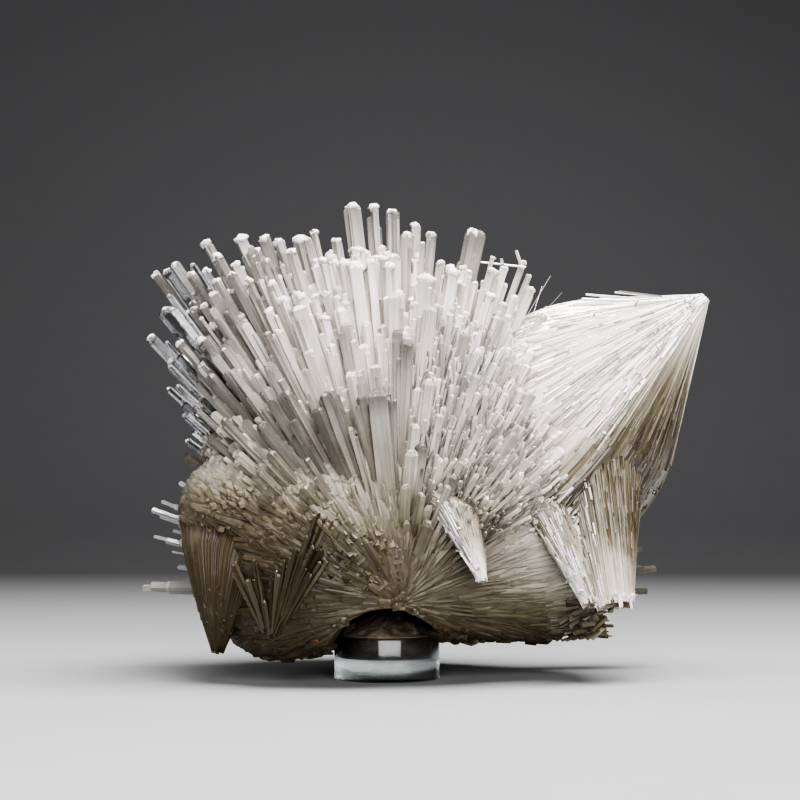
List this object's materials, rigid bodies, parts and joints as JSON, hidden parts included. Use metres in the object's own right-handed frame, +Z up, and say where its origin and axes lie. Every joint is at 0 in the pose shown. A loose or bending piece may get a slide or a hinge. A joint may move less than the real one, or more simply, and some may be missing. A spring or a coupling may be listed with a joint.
{
  "type": "scolecite specimen",
  "caption": "Spray of slender translucent white crystals with silky fibre sheaves, held up on a dark putty mound in a short clear ring.",
  "frame": {"origin": "centre of the clear ring's foot, on the surface that it stands on", "axes": "+X to the right and +Y away from someone who looks at the display side, +Z up"},
  "size_m": [0.1422, 0.0777, 0.1149],
  "materials": {
    "scolecite": "glassy to silky, translucent, with frosted tips and a brown-stained foot",
    "putty": "dull, slightly lumpy",
    "acrylic": "polished clear"
  },
  "bodies": {
    "root": {"scolecite_cluster": "scolecite", "putty": "putty", "clear_stand": "acrylic"}
  },
  "joints": []
}
